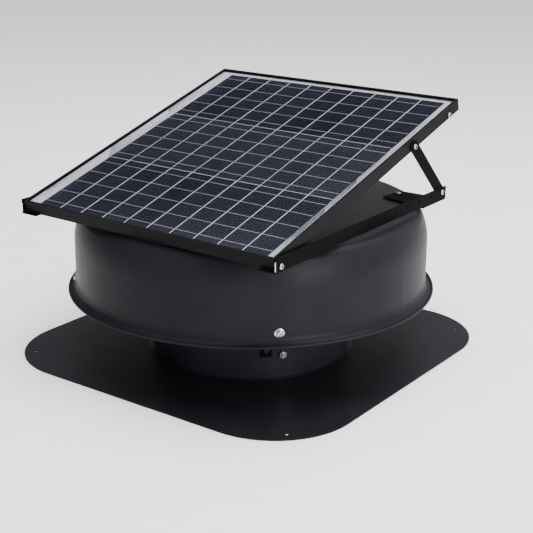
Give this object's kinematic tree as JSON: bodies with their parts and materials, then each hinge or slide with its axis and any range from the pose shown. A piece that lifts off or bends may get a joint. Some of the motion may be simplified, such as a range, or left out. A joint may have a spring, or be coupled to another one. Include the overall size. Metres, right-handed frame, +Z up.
{
  "type": "solar attic fan",
  "caption": "Roof-mounted attic exhaust fan: square flashing plate, round throat collar, domed hood and a hinged solar panel on side rails and props.",
  "frame": {"origin": "middle of the flashing plate's underside, on the fan's axis", "axes": "+Z up out of the roof along the fan's axis, -Y towards the solar panel's low hinged edge, +Y towards its raised edge, +X to the right seen from the low edge"},
  "size_m": [0.565, 0.565, 0.3754],
  "materials": {
    "flashing": "satin black powder coat",
    "collar_steel": "satin black powder coat",
    "hood_coat": "satin black powder coat",
    "bracket_coat": "matt black powder coat",
    "rail_coat": "satin black powder coat",
    "prop_coat": "satin black powder coat",
    "zinc_screws": "bright zinc",
    "black_screws": "black zinc",
    "inserts": "zinc",
    "washer_rubber": "matt",
    "spider_zinc": "galvanised",
    "guard_wire": "black",
    "guard_clip": "moulded nylon",
    "motor_paint": "black",
    "motor_alloy": "die cast",
    "bearing_steel": "ground",
    "core_steel": "laminated",
    "copper": "enamelled copper",
    "magnet": "ferrite",
    "switch_body": "moulded",
    "fan_alloy": "mill finish",
    "hub_alloy": "turned",
    "frame_anodised": "black anodised",
    "corner_nylon": "moulded nylon",
    "solar_glass": "tempered, clear",
    "encapsulant": "pale sheet",
    "silicon": "dark blue-black",
    "backsheet": "white",
    "box_plastic": "black"
  },
  "bodies": {
    "vent_body": {"base_flange": "flashing", "throat_collar": "collar_steel", "hood_shell": "hood_coat", "hood_brackets": "bracket_coat", "rail_left": "rail_coat", "rail_right": "rail_coat", "hood_side_screws": "zinc_screws", "spider_bolts": "zinc_screws", "spider_nuts": "zinc_screws", "rail_screws": "zinc_screws", "prop_foot_screws": "zinc_screws", "motor_screws": "zinc_screws", "strap_screws": "black_screws", "bracket_nuts": "black_screws", "rail_nuts": "black_screws", "rail_pads": "washer_rubber", "hood_grommet": "washer_rubber", "motor_spider": "spider_zinc", "inlet_guard": "guard_wire", "guard_clips": "guard_clip", "motor_housing": "motor_paint", "motor_cap": "motor_alloy", "bearing_lower": "bearing_steel", "bearing_upper": "bearing_steel", "stator_core": "core_steel", "stator_coils": "copper", "thermal_switch": "switch_body"},
    "fan_rotor": {"motor_shaft": "bearing_steel", "rotor_magnet": "magnet", "fan_hub": "hub_alloy", "fan_blades": "fan_alloy", "fan_rivets": "zinc_screws", "fan_nut": "zinc_screws"},
    "panel": {"frame_front": "frame_anodised", "frame_rear": "frame_anodised", "frame_left": "frame_anodised", "frame_right": "frame_anodised", "frame_corner_keys": "corner_nylon", "glass_pane": "solar_glass", "encapsulant": "encapsulant", "solar_cells": "silicon", "backsheet": "backsheet", "junction_box": "box_plastic", "junction_lid": "box_plastic", "junction_gland": "box_plastic", "hinge_screws": "zinc_screws", "hinge_spacers": "inserts", "prop_pivot_screws": "zinc_screws", "stop_screws": "zinc_screws", "frame_inserts": "inserts"},
    "prop_left": {"prop_left": "prop_coat"},
    "prop_right": {"prop_right": "prop_coat"}
  },
  "joints": [
    {"name": "fan_spin", "type": "hinge", "parent": "vent_body", "child": "fan_rotor", "pos_m": [0, 0, 0.098], "axis": [0, 0, 1], "continuous": true},
    {"name": "panel_tilt", "type": "hinge", "parent": "vent_body", "child": "panel", "pos_m": [0, -0.2415, 0.2335], "axis": [1, 0, 0], "range_deg": [-12.5, 0]},
    {"name": "prop_left_swing", "type": "hinge", "parent": "panel", "child": "prop_left", "pos_m": [-0.2246, 0.09053, 0.32533], "axis": [1, 0, 0], "range_deg": [0, 52]},
    {"name": "prop_right_swing", "type": "hinge", "parent": "panel", "child": "prop_right", "pos_m": [0.2246, 0.09053, 0.32533], "axis": [1, 0, 0], "range_deg": [0, 52]}
  ],
  "couplings": [
    {"joint": "prop_left_swing", "follows": "panel_tilt", "ratio": -4.16},
    {"joint": "prop_right_swing", "follows": "panel_tilt", "ratio": -4.16}
  ]
}
